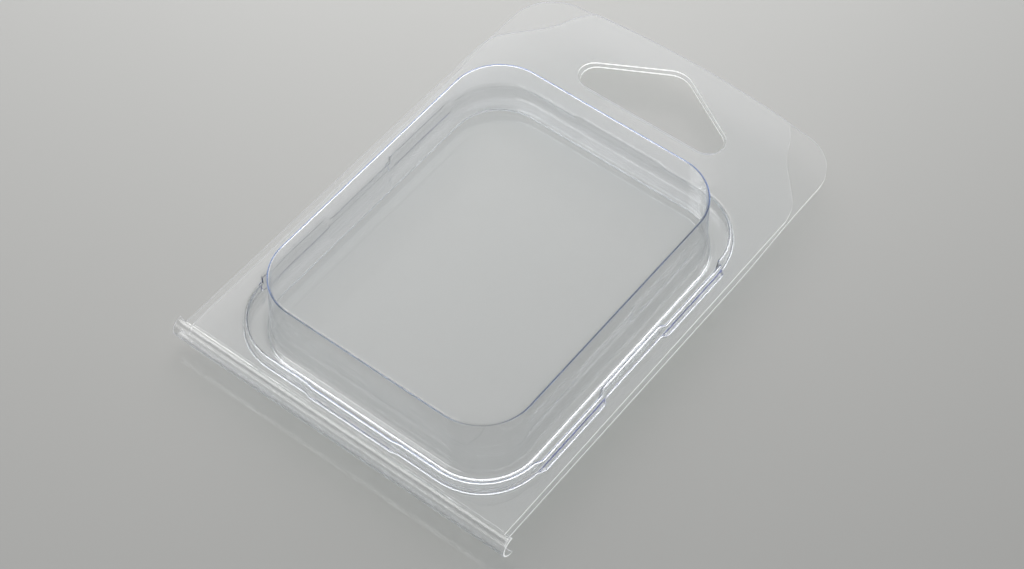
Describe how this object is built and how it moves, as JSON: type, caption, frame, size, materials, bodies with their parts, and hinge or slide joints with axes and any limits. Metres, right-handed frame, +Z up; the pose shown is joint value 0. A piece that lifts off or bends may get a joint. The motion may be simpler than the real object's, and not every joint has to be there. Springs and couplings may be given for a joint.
{
  "type": "hinged clear plastic blister pack",
  "caption": "Clear plastic clamshell pack: domed lid and shallow tray joined by a living hinge, a snap ring round the cavity and a rounded triangular hang hole in a wide flange.",
  "frame": {"origin": "under the middle of the closed pack, on the surface that the tray's bottom rests on", "axes": "+X along the hinge, +Y from the hinge to the hang hole, +Z up through the dome"},
  "size_m": [0.0802, 0.1168, 0.0181],
  "materials": {
    "clear_pet": "clear, glossy, very slightly blue"
  },
  "bodies": {
    "base": {"back_shell": "clear_pet", "living_hinge": "clear_pet"},
    "lid": {"front_shell": "clear_pet"}
  },
  "joints": [
    {"name": "lid_hinge", "type": "hinge", "parent": "base", "child": "lid", "pos_m": [0, -0.0584, 0.00438], "axis": [1, 0, 0], "range_deg": [0, 140], "deforming": ["living_hinge"]}
  ]
}
